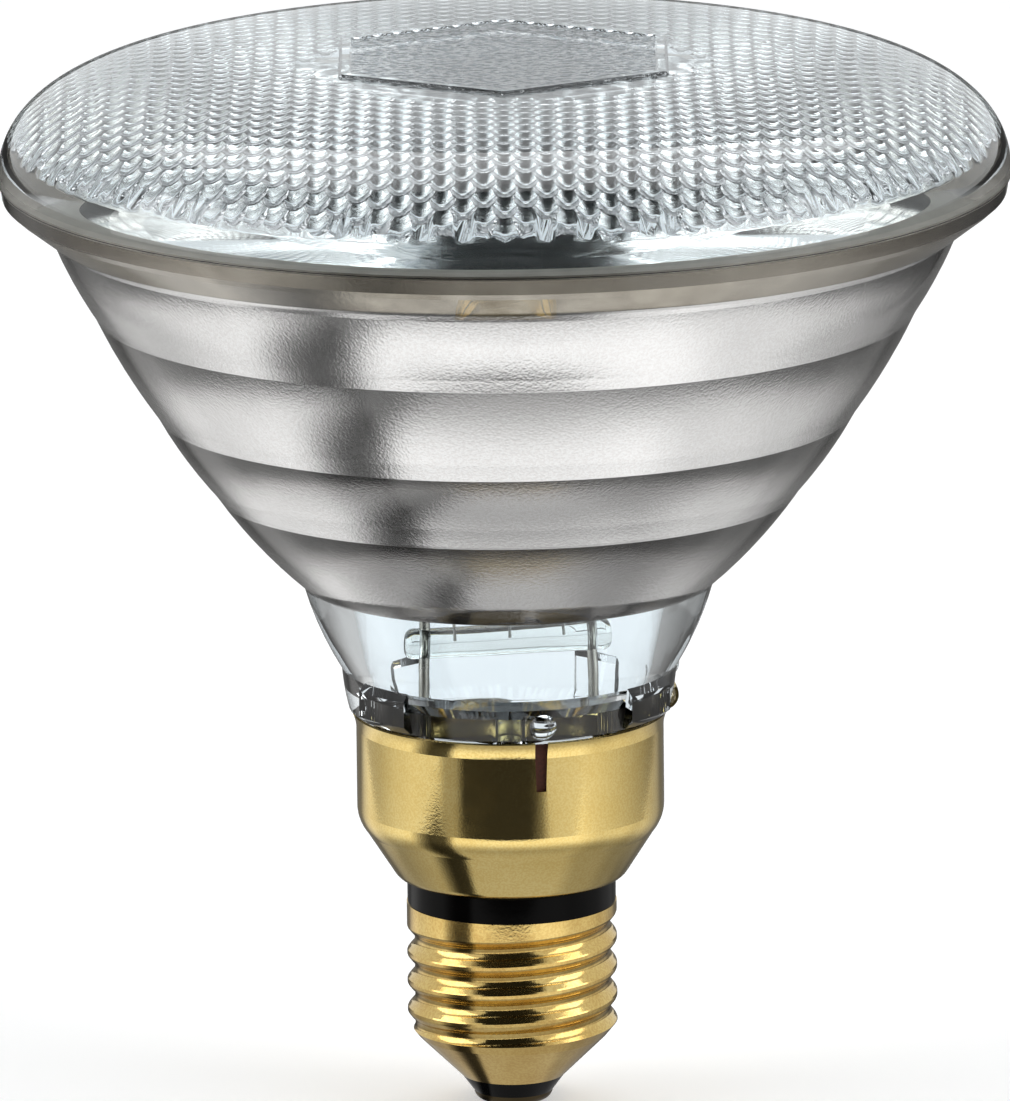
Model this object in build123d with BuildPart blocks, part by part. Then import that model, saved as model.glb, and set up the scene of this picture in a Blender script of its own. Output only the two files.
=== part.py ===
from build123d import *
from math import ceil, cos, hypot, radians, sin, sqrt, tan
import os

# Pressed-glass infrared reflector lamp with a skirted E27 screw cap, standing cap down.
# Millimetres. Z is the lamp axis, and z = 0 is the face of the centre contact.
# Azimuths are counted from the front (-Y) towards +X.
os.makedirs("parts", exist_ok=True)


# Screw cap
thread_crest_diameter = 26.1
thread_root_diameter = 24.2
thread_pitch = 25.4 / 7
shell_sheet = 0.3
contact_diameter = 9.8
contact_thickness = 1.1
barrel_diameter = 3.2
barrel_bore = 2.4
barrel_height = 3.2
insulator_cone_height = 2.1
shoulder_start_diameter = 12.9
shoulder_end_diameter = 23.5
shoulder_height = 5.6
threaded_height = 13.7
plain_collar_height = 2.9
groove_turns = 4
collar_diameter = 25.9

# Insulating ring between shell and skirt
ring_height = 3.2
ring_bore = 19.0
spigot_height = 2.2
spigot_diameter = 24.6
shell_lap = 1.6

# Brass skirt
skirt_diameter = 38.1
skirt_sheet = 0.35
skirt_lip_diameter = 26.4
skirt_cone_height = 8.8
skirt_height = 21.2
skirt_flare = 0.5
flare_height = 1.9
lip_round = 1.4
shoulder_round = 1.1
crimp_azimuth = 11.5
slot_width_top = 1.7
slot_width_bottom = 1.2
slot_depth = 6.1
tab_azimuth = 98.0
tab_arc = 15.0
tab_rise = 2.5
tab_reach = 1.4

# Glass collar that the skirt is crimped to
collar_clearance = 0.3
collar_depth = 9.2
collar_wall = 3.1
neck_diameter = 39.8
neck_height = 5.2
neck_growth = 0.85
lug_azimuths = (-48.0, 55.0, 142.0, 225.0)
lug_arc = 22.0
lug_height = 5.4
lug_stand_out = 0.9
knob_radius = 1.9
knob_stand_out = 0.85
knob_heights = (1.9, 4.4)

# Heel that closes the bowl and carries the mount
heel_lift = 2.2
heel_thickness = 4.5
heel_radius = 14.4
heel_round = 1.5
ferrule_spacing = 21.0
ferrule_diameter = 6.6
ferrule_sheet = 0.4
ferrule_dome = 1.8
ferrule_skirt = 2.0
exhaust_diameter = 6.0
exhaust_bore = 3.0
exhaust_length = 8.0

# Bowl: a paraboloid in stepped zones, with the aluminised film on its inner face
focal_length = 13.9
vertex_lift = 4.95
wall_rise = 4.6
zone_bulge = 0.25
zone_hollow = 0.2
window_bulge = 0.45
mirror_edge_rise = 11.65
zone_rises = (23.95, 33.85, 46.45)
bowl_top_rise = 56.25
film_top_rise = 58.25
film_rise = 0.25

# Rim and lens
rim_diameter = 124.2
rim_band_height = 2.4
rim_round = 0.4
seam_rise = 62.85
seam_width = 4.4
lens_overhang = 0.2
lens_rise = 14.5
lens_crown_power = 5.6
lens_edge_power = 2.2
lens_thickness = 4.0
lens_wall = 3.4
lens_shoulder = 3.5

# Little lenses on the lens's inner face, and the hexagonal plaque on its crown
field_inset = 5.8
field_fall = 3.1
field_margin = 0.1
cell_pitch = 2.83
cell_depth = 0.5
plaque_across_flats = 39.8
plaque_height = 0.35
plaque_border = 1.0
plaque_recess = 0.2
plaque_root = 1.0

# Filament mount
post_diameter = 1.3
arch_drop = 7.25
filament_diameter = 1.2
bridge_drop = 5.5
bridge_diameter = 3.2
bridge_overhang = 1.8
support_wire = 0.4
support_angles = {"support_left": 135, "support_middle": 90, "support_right": 45}
hook_gap = 0.05
lead_diameter = 0.6
lead_straight = 3.1
solder_bead = 1.1


# Heights along the axis, from the contact upwards
insulator_top = contact_thickness + insulator_cone_height
shoulder_top = insulator_top + shoulder_height
collar_base = shoulder_top + threaded_height
ring_base = collar_base + plain_collar_height
ring_top = ring_base + ring_height
rim_height = ring_top + skirt_height
skirt_cone_top = ring_top + skirt_cone_height
neck_base = rim_height + 0.6
neck_top = neck_base + neck_height
collar_bottom = rim_height - collar_depth
heel_top = neck_base + heel_lift
heel_bottom = heel_top - heel_thickness
ferrule_top = heel_top + ferrule_dome
ferrule_bottom = heel_bottom - ferrule_skirt
vertex_height = rim_height + vertex_lift
mirror_edge_height = vertex_height + mirror_edge_rise
zone_heights = tuple(vertex_height + rise for rise in zone_rises)
bowl_top_height = vertex_height + bowl_top_rise
film_top_height = vertex_height + film_top_rise
seam_height = vertex_height + seam_rise
post_top_height = vertex_height + wall_rise + focal_length - arch_drop
bridge_height = post_top_height - bridge_drop
contact_radius = contact_diameter / 2
crest_radius = thread_crest_diameter / 2
root_radius = thread_root_diameter / 2
collar_outer_radius = skirt_diameter / 2 - skirt_sheet - collar_clearance
post_offset = ferrule_spacing / 2
ferrule_radius = ferrule_diameter / 2
seam_radius = rim_diameter / 2
lens_edge_radius = seam_radius + lens_overhang

# The mount stands in one upright plane, square to the crimp slot
clock = Plane.XY.rotated((0, 0, crimp_azimuth))
mount_plane = Plane(origin=(0, 0, 0), x_dir=clock.x_dir, z_dir=-clock.y_dir)


def radial_plane(azimuth):
    """Upright plane through the axis with local x pointing out along an azimuth."""
    turn = radians(azimuth)
    outward = Vector(sin(turn), -cos(turn), 0)
    return Plane(origin=(0, 0, 0), x_dir=outward, z_dir=outward.cross(Vector(0, 0, 1)))


def outward_plane(azimuth):
    """Upright plane on the axis that faces out along an azimuth, with local y up."""
    turn = radians(azimuth)
    return Plane(
        origin=(0, 0, 0), x_dir=(cos(turn), sin(turn), 0), z_dir=(sin(turn), -cos(turn), 0)
    )


def bowl_point(height, rise, extra=0.0):
    """Point of the bowl's paraboloid, raised along the axis by `rise`."""
    return (2 * sqrt(focal_length * (height - vertex_height - rise)) + extra, height)


def swollen_zones(heights):
    """Outer face of the bowl: one arc for each zone, swollen beyond the paraboloid."""
    for low, high in zip(heights, heights[1:]):
        middle = bowl_point((low + high) / 2, 0, zone_bulge)
        ThreePointArc(bowl_point(low, 0), middle, bowl_point(high, 0))


def hollow_zones(heights, rise):
    """Inner face of the bowl: one arc for each zone, a little hollow between its ends."""
    for low, high in zip(heights, heights[1:]):
        start, end = bowl_point(low, rise), bowl_point(high, rise)
        ThreePointArc(start, ((start[0] + end[0]) / 2 - zone_hollow, (low + high) / 2), end)


def dome_height(radius):
    """Height of the lens's outer face at a radius: flat crown, tightly rounded edge."""
    share = (radius / lens_edge_radius) ** lens_crown_power
    return seam_height + lens_rise * (1 - share) ** (1 / lens_edge_power)


outer_zone_heights = (mirror_edge_height, *zone_heights, bowl_top_height)
inner_zone_heights = (mirror_edge_height, *zone_heights, film_top_height)
parts = {}


def finish(name, builder):
    """Label a finished sub-part and write it as one STEP file."""
    builder.part.label = name
    export_step(builder.part, f"parts/{name}.step")
    parts[name] = builder.part


# Centre contact: a brass eyelet whose barrel grips the black glass
with BuildPart() as centre_contact:
    with BuildSketch(Plane.XZ):
        with BuildLine():
            Polyline(
                (barrel_bore / 2, barrel_height),
                (barrel_bore / 2, 0),
                (contact_radius - contact_thickness, 0),
            )
            RadiusArc(
                (contact_radius - contact_thickness, 0),
                (contact_radius, contact_thickness),
                -contact_thickness * 1.1,
            )
            Polyline(
                (contact_radius, contact_thickness),
                (barrel_diameter / 2, contact_thickness),
                (barrel_diameter / 2, barrel_height),
                (barrel_bore / 2, barrel_height),
            )
        make_face()
    revolve(axis=Axis.Z)
finish("centre_contact", centre_contact)

# Base insulator: black glass that fills the shoulder of the shell
glass_reach = shoulder_top - 0.6
shoulder_slope = (shoulder_end_diameter - shoulder_start_diameter) / 2 / shoulder_height
reach_radius = shoulder_start_diameter / 2 + (glass_reach - insulator_top) * shoulder_slope
sheet_inset = shell_sheet * sqrt(1 + shoulder_slope**2)
with BuildPart() as base_insulator:
    with BuildSketch(Plane.XZ):
        with BuildLine():
            Polyline(
                (barrel_diameter / 2, contact_thickness),
                (contact_radius, contact_thickness),
                (shoulder_start_diameter / 2, insulator_top),
                (shoulder_start_diameter / 2 - sheet_inset, insulator_top),
                (reach_radius - sheet_inset, glass_reach),
                (reach_radius - sheet_inset - 3.0, glass_reach),
                (barrel_diameter / 2 + 1.0, barrel_height + 1.2),
                (barrel_diameter / 2, barrel_height + 1.2),
                close=True,
            )
        make_face()
    revolve(axis=Axis.Z)
finish("base_insulator", base_insulator)

# Screw shell: drawn sheet with the E27 thread rolled into it, inside and out
thread_depth = crest_radius - root_radius
half_pitch = thread_pitch / 2
wave_radius = (thread_depth**2 + half_pitch**2) / (4 * thread_depth)
bore_radius_inside = root_radius - shell_sheet


def groove_section():
    """Rounded groove, open outwards: x = 0 is the crest line and y = 0 the root."""
    slope = radians(20)
    flank = (-thread_depth / 2, half_pitch / 2)
    bend = (-wave_radius * (1 - cos(slope)), half_pitch - wave_radius * sin(slope))
    lift = 0.05
    mouth = (lift, bend[1] + (lift - bend[0]) / tan(slope))
    for side in (1, -1):
        Line((flank[0], side * flank[1]), (bend[0], side * bend[1]))
        Line((bend[0], side * bend[1]), (mouth[0], side * mouth[1]))
        Line((mouth[0], side * mouth[1]), (thread_depth, side * mouth[1]))
    Line((thread_depth, mouth[1]), (thread_depth, -mouth[1]))
    ThreePointArc((flank[0], flank[1]), (-thread_depth, 0), (flank[0], -flank[1]))


def hollow_section():
    """Rounded hollow behind a crest, open inwards: x = 0 is the bore."""
    width = 0.38 * thread_pitch
    ThreePointArc((-0.1, -width), (thread_depth - 0.15, 0), (-0.1, width))
    Polyline((-0.1, width), (-1.0, width), (-1.0, -width), (-0.1, -width))


groove_base = collar_base - groove_turns * thread_pitch
groove_path = Helix(
    thread_pitch, (groove_turns + 0.15) * thread_pitch, crest_radius, center=(0, 0, groove_base)
)
hollow_path = Helix(
    thread_pitch, (groove_turns - 0.85) * thread_pitch, bore_radius_inside,
    center=(0, 0, groove_base + half_pitch),
)
with BuildPart() as screw_shell:
    with BuildSketch(radial_plane(45)):
        with BuildLine():
            Polyline(
                (shoulder_start_diameter / 2, insulator_top),
                (shoulder_end_diameter / 2, shoulder_top - 0.4),
                (crest_radius, shoulder_top + 1.2),
                (crest_radius, ring_base),
                (collar_diameter / 2 - shell_sheet, ring_base),
                (bore_radius_inside, ring_base - 1.0),
                (bore_radius_inside, shoulder_top + 0.4),
                (shoulder_start_diameter / 2 - sheet_inset, insulator_top),
                close=True,
            )
        make_face()
    revolve(axis=Axis.Z)
    with BuildSketch(Plane(origin=groove_path @ 0, x_dir=(1, 0, 0), z_dir=groove_path % 0)):
        with BuildLine():
            groove_section()
        make_face()
    sweep(path=groove_path, is_frenet=True, mode=Mode.SUBTRACT)
    with BuildSketch(Plane(origin=hollow_path @ 0, x_dir=(1, 0, 0), z_dir=hollow_path % 0)):
        with BuildLine():
            hollow_section()
        make_face()
    sweep(path=hollow_path, is_frenet=True, mode=Mode.SUBTRACT)
finish("screw_shell", screw_shell)

# Insulating ring: black moulding that the shell and the skirt are both pressed onto
with BuildPart() as insulating_ring:
    with BuildSketch(Plane.XZ):
        with BuildLine():
            Polyline(
                (ring_bore / 2, ring_base - shell_lap),
                (root_radius - shell_sheet - 0.1, ring_base - shell_lap),
                (root_radius - shell_sheet - 0.1, ring_base),
                (collar_diameter / 2, ring_base),
                (collar_diameter / 2, ring_top),
                (spigot_diameter / 2, ring_top),
                (spigot_diameter / 2, ring_top + spigot_height),
                (ring_bore / 2, ring_top + spigot_height),
                close=True,
            )
        make_face()
    revolve(axis=Axis.Z)
finish("insulating_ring", insulating_ring)

# Skirt: spun brass, seated on the ring's spigot and crimped to the glass collar
skirt_radius = skirt_diameter / 2
rim_radius = skirt_radius + skirt_flare
lip_radius = skirt_lip_diameter / 2
cone_foot = (lip_radius + lip_round, ring_top + lip_round * 0.7)
cone_head = (skirt_radius - shoulder_round, skirt_cone_top - shoulder_round * 2.36)
with BuildPart() as cap_skirt:
    with BuildSketch(Plane.XZ):
        with BuildLine():
            with BuildLine(mode=Mode.PRIVATE) as skirt_line:
                Line((spigot_diameter / 2, ring_top), (lip_radius, ring_top))
                ThreePointArc(
                    (lip_radius, ring_top),
                    (lip_radius + lip_round * 0.57, ring_top + lip_round * 0.25),
                    cone_foot,
                )
                Line(cone_foot, cone_head)
                ThreePointArc(
                    cone_head,
                    (skirt_radius - shoulder_round * 0.27, skirt_cone_top - shoulder_round * 1.1),
                    (skirt_radius, skirt_cone_top + shoulder_round * 0.36),
                )
                Line(
                    (skirt_radius, skirt_cone_top + shoulder_round * 0.36),
                    (skirt_radius, rim_height - flare_height),
                )
                ThreePointArc(
                    (skirt_radius, rim_height - flare_height),
                    (skirt_radius + skirt_flare * 0.35, rim_height - flare_height * 0.45),
                    (rim_radius, rim_height),
                )
            offset(skirt_line.line, amount=skirt_sheet, side=Side.LEFT, closed=True)
        make_face()
    revolve(axis=Axis.Z)
    # Tapered crimp slot, open at the rim
    with BuildSketch(outward_plane(crimp_azimuth)):
        with BuildLine():
            Polyline(
                (-slot_width_top / 2, rim_height + 1.0),
                (-slot_width_bottom / 2, rim_height - slot_depth),
                (slot_width_bottom / 2, rim_height - slot_depth),
                (slot_width_top / 2, rim_height + 1.0),
                close=True,
            )
        make_face()
    extrude(amount=skirt_diameter, mode=Mode.SUBTRACT)
    # Crimp tab: a tongue of the rim bent out over the glass
    with BuildSketch(radial_plane(tab_azimuth - tab_arc / 2)):
        with BuildLine():
            with BuildLine(mode=Mode.PRIVATE) as tab_line:
                ThreePointArc(
                    (rim_radius - 0.05, rim_height - 0.4),
                    (rim_radius + tab_reach, rim_height + tab_rise * 0.5),
                    (rim_radius + tab_reach * 0.8, rim_height + tab_rise),
                )
            offset(tab_line.line, amount=skirt_sheet, side=Side.LEFT, closed=True)
        make_face()
    revolve(axis=Axis.Z, revolution_arc=tab_arc)
finish("cap_skirt", cap_skirt)

# Reflector: one pressed-glass bowl with its rim, heel, neck and collar
collar_inner_radius = collar_outer_radius - collar_wall
neck_radius = neck_diameter / 2
seam_inner_radius = seam_radius - seam_width
band_bottom = seam_height - rim_band_height
window_foot = (heel_radius + heel_round, heel_top + heel_round * 0.8)
knob_low = neck_base + knob_heights[0]
knob_high = neck_base + knob_heights[1]
with BuildPart() as reflector:
    with BuildSketch(Plane.XZ):
        with BuildLine():
            Polyline(
                (exhaust_bore / 2, heel_top),
                (exhaust_bore / 2, heel_bottom),
                (collar_inner_radius, heel_bottom),
                (collar_inner_radius, collar_bottom),
                (collar_outer_radius, collar_bottom),
                (collar_outer_radius, rim_height - 0.3),
                (neck_radius, neck_base),
            )
            ThreePointArc(
                (neck_radius, neck_base),
                (neck_radius + neck_growth * 0.65, neck_base + neck_height * 0.5),
                (neck_radius + neck_growth, neck_top),
            )
            window_top = bowl_point(mirror_edge_height, 0)
            window_middle = (
                (neck_radius + neck_growth + window_top[0]) / 2 + window_bulge,
                (neck_top + mirror_edge_height) / 2,
            )
            ThreePointArc((neck_radius + neck_growth, neck_top), window_middle, window_top)
            swollen_zones(outer_zone_heights)
            Polyline(
                bowl_point(bowl_top_height, 0),
                (seam_radius - 3 * rim_round, band_bottom - rim_round),
                (seam_radius - 0.75 * rim_round, band_bottom + rim_round),
                (seam_radius, seam_height),
                (seam_inner_radius, seam_height),
                bowl_point(film_top_height, wall_rise),
            )
            hollow_zones(inner_zone_heights, wall_rise)
            film_foot = bowl_point(mirror_edge_height, wall_rise)
            ThreePointArc(
                film_foot,
                ((film_foot[0] + window_foot[0]) / 2 + 0.2, (film_foot[1] + window_foot[1]) / 2),
                window_foot,
            )
            Polyline(window_foot, (heel_radius, heel_top), (exhaust_bore / 2, heel_top))
        make_face()
    revolve(axis=Axis.Z)
    # Pressed lugs round the neck
    for azimuth in lug_azimuths:
        with BuildSketch(radial_plane(azimuth - lug_arc / 2)):
            with BuildLine():
                Polyline(
                    (neck_radius - 0.5, neck_base + 0.2),
                    (neck_radius + 0.6 * lug_stand_out, neck_base + 0.2),
                    (neck_radius + neck_growth + lug_stand_out, neck_base + 1.2),
                    (neck_radius + neck_growth + lug_stand_out, neck_base + lug_height - 1.0),
                    (neck_radius + neck_growth, neck_base + lug_height),
                    (neck_radius - 0.5, neck_base + lug_height),
                    close=True,
                )
            make_face()
        revolve(axis=Axis.Z, revolution_arc=lug_arc)
    # Knobs above the crimp slot and above the crimp tab
    for azimuth, height in ((crimp_azimuth, knob_low), (tab_azimuth, knob_high)):
        centre = radial_plane(azimuth).from_local_coords(
            Vector(neck_radius + neck_growth * 0.6 + knob_stand_out - knob_radius, height)
        )
        with Locations(centre):
            Sphere(knob_radius)
    # Bores that the two ferrules are sealed into
    with BuildSketch(clock.offset(heel_bottom)):
        with Locations((-post_offset, 0), (post_offset, 0)):
            Circle(ferrule_radius)
    extrude(amount=heel_thickness, mode=Mode.SUBTRACT)
finish("reflector", reflector)

# Aluminised film on the inside of the bowl
with BuildPart() as mirror_film:
    with BuildSketch(Plane.XZ):
        with BuildLine():
            hollow_zones(inner_zone_heights, wall_rise)
            hollow_zones(inner_zone_heights, wall_rise + film_rise)
            for height in (mirror_edge_height, film_top_height):
                Line(bowl_point(height, wall_rise), bowl_point(height, wall_rise + film_rise))
        make_face()
    revolve(axis=Axis.Z)
finish("mirror_film", mirror_film)

# Exhaust tube: fused under the heel and tipped off
with BuildPart() as exhaust_tube:
    tip_height = heel_bottom - exhaust_length
    with BuildSketch(Plane.XZ):
        with BuildLine():
            Line((exhaust_bore / 2, heel_bottom), (exhaust_diameter / 2, heel_bottom))
            Line((exhaust_diameter / 2, heel_bottom), (exhaust_diameter / 2, tip_height + 3.0))
            Spline(
                (exhaust_diameter / 2, tip_height + 3.0),
                (0, tip_height),
                tangents=((0, -1), (-1, 0)),
            )
            Line((0, tip_height), (0, tip_height + 2.0))
            Spline(
                (0, tip_height + 2.0),
                (exhaust_bore / 2, tip_height + 4.0),
                tangents=((1, 0), (0, 1)),
            )
            Line((exhaust_bore / 2, tip_height + 4.0), (exhaust_bore / 2, heel_bottom))
        make_face()
    revolve(axis=Axis.Z)
finish("exhaust_tube", exhaust_tube)

# Ferrules: thimbles sealed through the heel, open below, with the lead-in posts on their domes
for name, offset_side in (("left", -post_offset), ("right", post_offset)):
    with BuildPart() as ferrule:
        with BuildSketch(mount_plane):
            with BuildLine():
                for radius, top in (
                    (ferrule_radius, ferrule_top),
                    (ferrule_radius - ferrule_sheet, ferrule_top - ferrule_sheet),
                ):
                    Line((offset_side + radius, ferrule_bottom), (offset_side + radius, heel_top))
                    RadiusArc(
                        (offset_side + radius, heel_top),
                        (offset_side, top),
                        -(radius**2 + (top - heel_top) ** 2) / (2 * (top - heel_top)),
                    )
                Line((offset_side, ferrule_top), (offset_side, ferrule_top - ferrule_sheet))
                Line(
                    (offset_side + ferrule_radius, ferrule_bottom),
                    (offset_side + ferrule_radius - ferrule_sheet, ferrule_bottom),
                )
            make_face()
        revolve(axis=Axis(mount_plane.from_local_coords((offset_side, 0)), (0, 0, 1)))
    finish(f"ferrule_{name}", ferrule)

    with BuildPart() as post:
        with BuildSketch(clock.offset(ferrule_top)):
            with Locations((offset_side, 0)):
                Circle(post_diameter / 2)
        extrude(amount=post_top_height - ferrule_top)
        # Foot that follows the dome
        extrude(post.faces().sort_by(Axis.Z)[0], until=Until.NEXT, target=ferrule.part)
    finish(f"post_{name}", post)

# Filament: the envelope of the coil, arched from post to post
with BuildPart() as filament:
    with BuildLine(mount_plane) as filament_arch:
        ThreePointArc(
            (-post_offset, post_top_height),
            (0, post_top_height + post_offset),
            (post_offset, post_top_height),
        )
    with BuildSketch(Plane(origin=filament_arch.line @ 0, z_dir=filament_arch.line % 0)):
        Circle(filament_diameter / 2)
    sweep(path=filament_arch.line)
finish("filament", filament)

# Support wires: a hook round the filament on an upright that stands in the bridge
hook_radius = filament_diameter / 2 + hook_gap + support_wire / 2
for name, angle in support_angles.items():
    lean = Vector(cos(radians(angle)), sin(radians(angle)))
    hooked = Vector(0, post_top_height) + lean * post_offset
    foot = hooked - lean * hook_radius
    tangent = mount_plane.x_dir * -lean.Y + Vector(0, 0, 1) * lean.X
    with BuildPart() as support:
        with BuildSketch(clock.offset(bridge_height)):
            with Locations((foot.X, 0)):
                Circle(support_wire / 2)
        extrude(amount=foot.Y - bridge_height)
        with Locations(Plane(origin=mount_plane.from_local_coords(hooked), z_dir=tangent)):
            Torus(hook_radius, support_wire / 2)
    finish(name, support)

# Bridge: glass bead fused across the posts, with the support wires set in it
with BuildPart() as glass_bridge:
    half_bridge = post_offset + post_diameter / 2 + bridge_overhang
    bridge_axis = Plane(
        origin=clock.x_dir * -half_bridge + Vector(0, 0, bridge_height), z_dir=clock.x_dir
    )
    with BuildSketch(bridge_axis):
        Circle(bridge_diameter / 2)
    extrude(amount=2 * half_bridge)
    fillet(glass_bridge.edges(), bridge_diameter * 0.3)
    for name in ("post_left", "post_right", *support_angles):
        add(parts[name], mode=Mode.SUBTRACT)
finish("glass_bridge", glass_bridge)

# Lead wires from the ferrules down into the cap
solder_top = barrel_height - 0.6
with BuildPart() as lead_to_contact:
    with BuildLine(mount_plane) as contact_route:
        FilletPolyline(
            (0, solder_top - 2 * lead_diameter),
            (0, ring_top + lead_straight),
            (-post_offset, ferrule_bottom - lead_straight),
            (-post_offset, ferrule_top - ferrule_sheet),
            radius=lead_straight * 0.9,
        )
    with BuildSketch(Plane(origin=contact_route.line @ 0, z_dir=contact_route.line % 0)):
        Circle(lead_diameter / 2)
    sweep(path=contact_route.line)
finish("lead_to_contact", lead_to_contact)

bead_height = ring_base - shell_lap - lead_straight * 0.65
lead_run_radius = ring_bore / 2 - 3 * lead_diameter
with BuildPart() as lead_to_shell:
    with BuildLine(mount_plane) as shell_route:
        FilletPolyline(
            (bore_radius_inside - lead_diameter / 2, bead_height),
            (lead_run_radius, bead_height + lead_straight * 0.65),
            (lead_run_radius, ring_top + spigot_height + lead_straight * 0.65),
            (post_offset, ferrule_bottom - lead_straight),
            (post_offset, ferrule_top - ferrule_sheet),
            radius=lead_straight * 0.45,
        )
    with BuildSketch(Plane(origin=shell_route.line @ 0, z_dir=shell_route.line % 0)):
        Circle(lead_diameter / 2)
    sweep(path=shell_route.line)
finish("lead_to_shell", lead_to_shell)

# Solder that fills the eyelet, and the bead that ties the other lead to the shell
with BuildPart() as contact_solder:
    with BuildSketch(clock.offset(0.2)):
        Circle(barrel_bore / 2)
    extrude(amount=solder_top - 0.2)
    add(parts["lead_to_contact"], mode=Mode.SUBTRACT)
finish("contact_solder", contact_solder)

with BuildPart() as shell_solder:
    with Locations(mount_plane.from_local_coords(Vector(bore_radius_inside, bead_height))):
        Sphere(solder_bead)
    with BuildSketch(clock.offset(bead_height - 2 * solder_bead)):
        Circle(bore_radius_inside)
    extrude(amount=4 * solder_bead, mode=Mode.INTERSECT)
    add(parts["lead_to_shell"], mode=Mode.SUBTRACT)
finish("shell_solder", shell_solder)

# Lens blank: pressed glass, domed outside, with a raised hexagonal plaque on the crown
crown_underside = seam_height + lens_rise - lens_thickness
field_height = crown_underside - field_fall
field_radius = lens_edge_radius - field_inset
lens_inner_radius = seam_radius - lens_wall
dome_shares = (0, 0.32, 0.55, 0.71, 0.82, 0.9, 0.95, 0.98, 0.995)
with BuildPart() as lens_blank:
    with BuildSketch(Plane.XZ):
        with BuildLine():
            Line((0, field_height), (0, dome_height(0)))
            Spline(
                *[(share * lens_edge_radius, dome_height(share * lens_edge_radius))
                  for share in dome_shares],
                (lens_edge_radius, seam_height),
                tangents=((1, 0), (0, -1)),
            )
            Polyline(
                (lens_edge_radius, seam_height),
                (lens_inner_radius, seam_height),
                (lens_inner_radius, field_height - lens_shoulder),
            )
            ThreePointArc(
                (lens_inner_radius, field_height - lens_shoulder),
                (lens_inner_radius - lens_shoulder * 0.17, field_height - lens_shoulder * 0.34),
                (field_radius, field_height),
            )
            Line((field_radius, field_height), (0, field_height))
        make_face()
    revolve(axis=Axis.Z)
    with BuildSketch(Plane.XY.offset(dome_height(0) - plaque_root)):
        RegularPolygon(plaque_across_flats / 2, 6, major_radius=False, rotation=30)
    extrude(amount=plaque_root + plaque_height)
    with BuildSketch(Plane.XY.offset(dome_height(0) + plaque_height)):
        RegularPolygon(plaque_across_flats / 2 - plaque_border, 6, major_radius=False, rotation=30)
    extrude(amount=-plaque_recess, mode=Mode.SUBTRACT)

# Honeycomb of little lenses that replaces the blank's flat underside. Each is a low six-sided
# pyramid that hangs from the underside, and the cells under the plaque are left level.
cell_corner = cell_pitch / sqrt(3)
column_pitch = cell_pitch * sqrt(3) / 2
field_reach = field_radius - cell_corner - field_margin
level_radius = (plaque_across_flats / 2 + cell_pitch) / cos(radians(30))
fall_width = field_reach - cell_corner - level_radius
corners = {}
sides = {}
facets = []


def field_corner(x, y):
    """Corner of a cell: level round the plaque, then falling to the edge of the field."""
    fall = min(max((hypot(x, y) - level_radius) / fall_width, 0), 1) ** 3
    place = (round(x, 4), round(y, 4))
    return corners.setdefault(place, Vector(x, y, crown_underside - field_fall * fall))


def under_plaque(x, y):
    """Whether a cell's centre lies under the plaque, measured across its three pairs of flats."""
    across = [abs(x * sin(radians(a)) + y * cos(radians(a))) for a in (0, 60, 120)]
    return max(across) < plaque_across_flats / 2 + plaque_border


columns = ceil(field_reach / column_pitch)
for column in range(-columns, columns + 1):
    shift = cell_pitch / 2 if column % 2 else 0
    for row in range(-columns, columns + 1):
        x, y = column * column_pitch, row * cell_pitch + shift
        if hypot(x, y) > field_reach:
            continue
        ring = [
            field_corner(x + cell_corner * cos(radians(a)), y + cell_corner * sin(radians(a)))
            for a in range(0, 360, 60)
        ]
        pairs = list(zip(ring, ring[1:] + ring[:1]))
        for start, end in pairs:
            sides.setdefault(frozenset((id(start), id(end))), []).append((start, end))
        if under_plaque(x, y):
            facets.append(Face(Wire.make_polygon(ring, close=True)))
            continue
        apex = Vector(x, y, sum(corner.Z for corner in ring) / 6 - cell_depth)
        for start, end in pairs:
            facets.append(Face(Wire.make_polygon([start, end, apex], close=True)))

border = Wire([Edge.make_line(*users[0]) for users in sides.values() if len(users) == 1])
flat_underside = lens_blank.faces().filter_by(Plane.XY).sort_by(lambda f: abs(f.center().Z - field_height))[0]
kept_faces = [face for face in lens_blank.faces() if not face.is_same(flat_underside)]
rim_of_field = Face(flat_underside.outer_wire(), [border])
with BuildPart() as lens:
    add(Solid(Shell([*kept_faces, rim_of_field, *facets])))
finish("lens", lens)
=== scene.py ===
# %% [markdown]
# # An infrared reflector lamp
# This lesson dresses an imported CAD model of a pressed-glass reflector lamp with a skirted screw
# cap. The lamp stands cap down, and Z is its axis. The frame comes in first, because every new
# piece is placed from it.

from math import ceil, cos, hypot, pi, radians, sin, sqrt

import bmesh
import bpy
from mathutils import Matrix, Vector


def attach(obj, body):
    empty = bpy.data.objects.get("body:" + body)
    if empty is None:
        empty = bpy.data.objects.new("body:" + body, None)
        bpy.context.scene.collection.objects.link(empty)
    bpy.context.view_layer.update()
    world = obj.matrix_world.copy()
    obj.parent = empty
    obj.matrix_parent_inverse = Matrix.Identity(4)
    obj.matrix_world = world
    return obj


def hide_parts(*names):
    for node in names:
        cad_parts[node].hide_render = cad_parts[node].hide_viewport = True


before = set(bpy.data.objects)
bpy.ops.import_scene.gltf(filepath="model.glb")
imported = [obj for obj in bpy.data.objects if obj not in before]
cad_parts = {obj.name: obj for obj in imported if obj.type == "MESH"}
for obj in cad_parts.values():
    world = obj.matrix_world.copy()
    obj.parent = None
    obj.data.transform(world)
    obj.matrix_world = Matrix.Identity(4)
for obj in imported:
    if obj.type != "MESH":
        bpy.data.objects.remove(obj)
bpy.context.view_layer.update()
MM = 0.001

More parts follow.
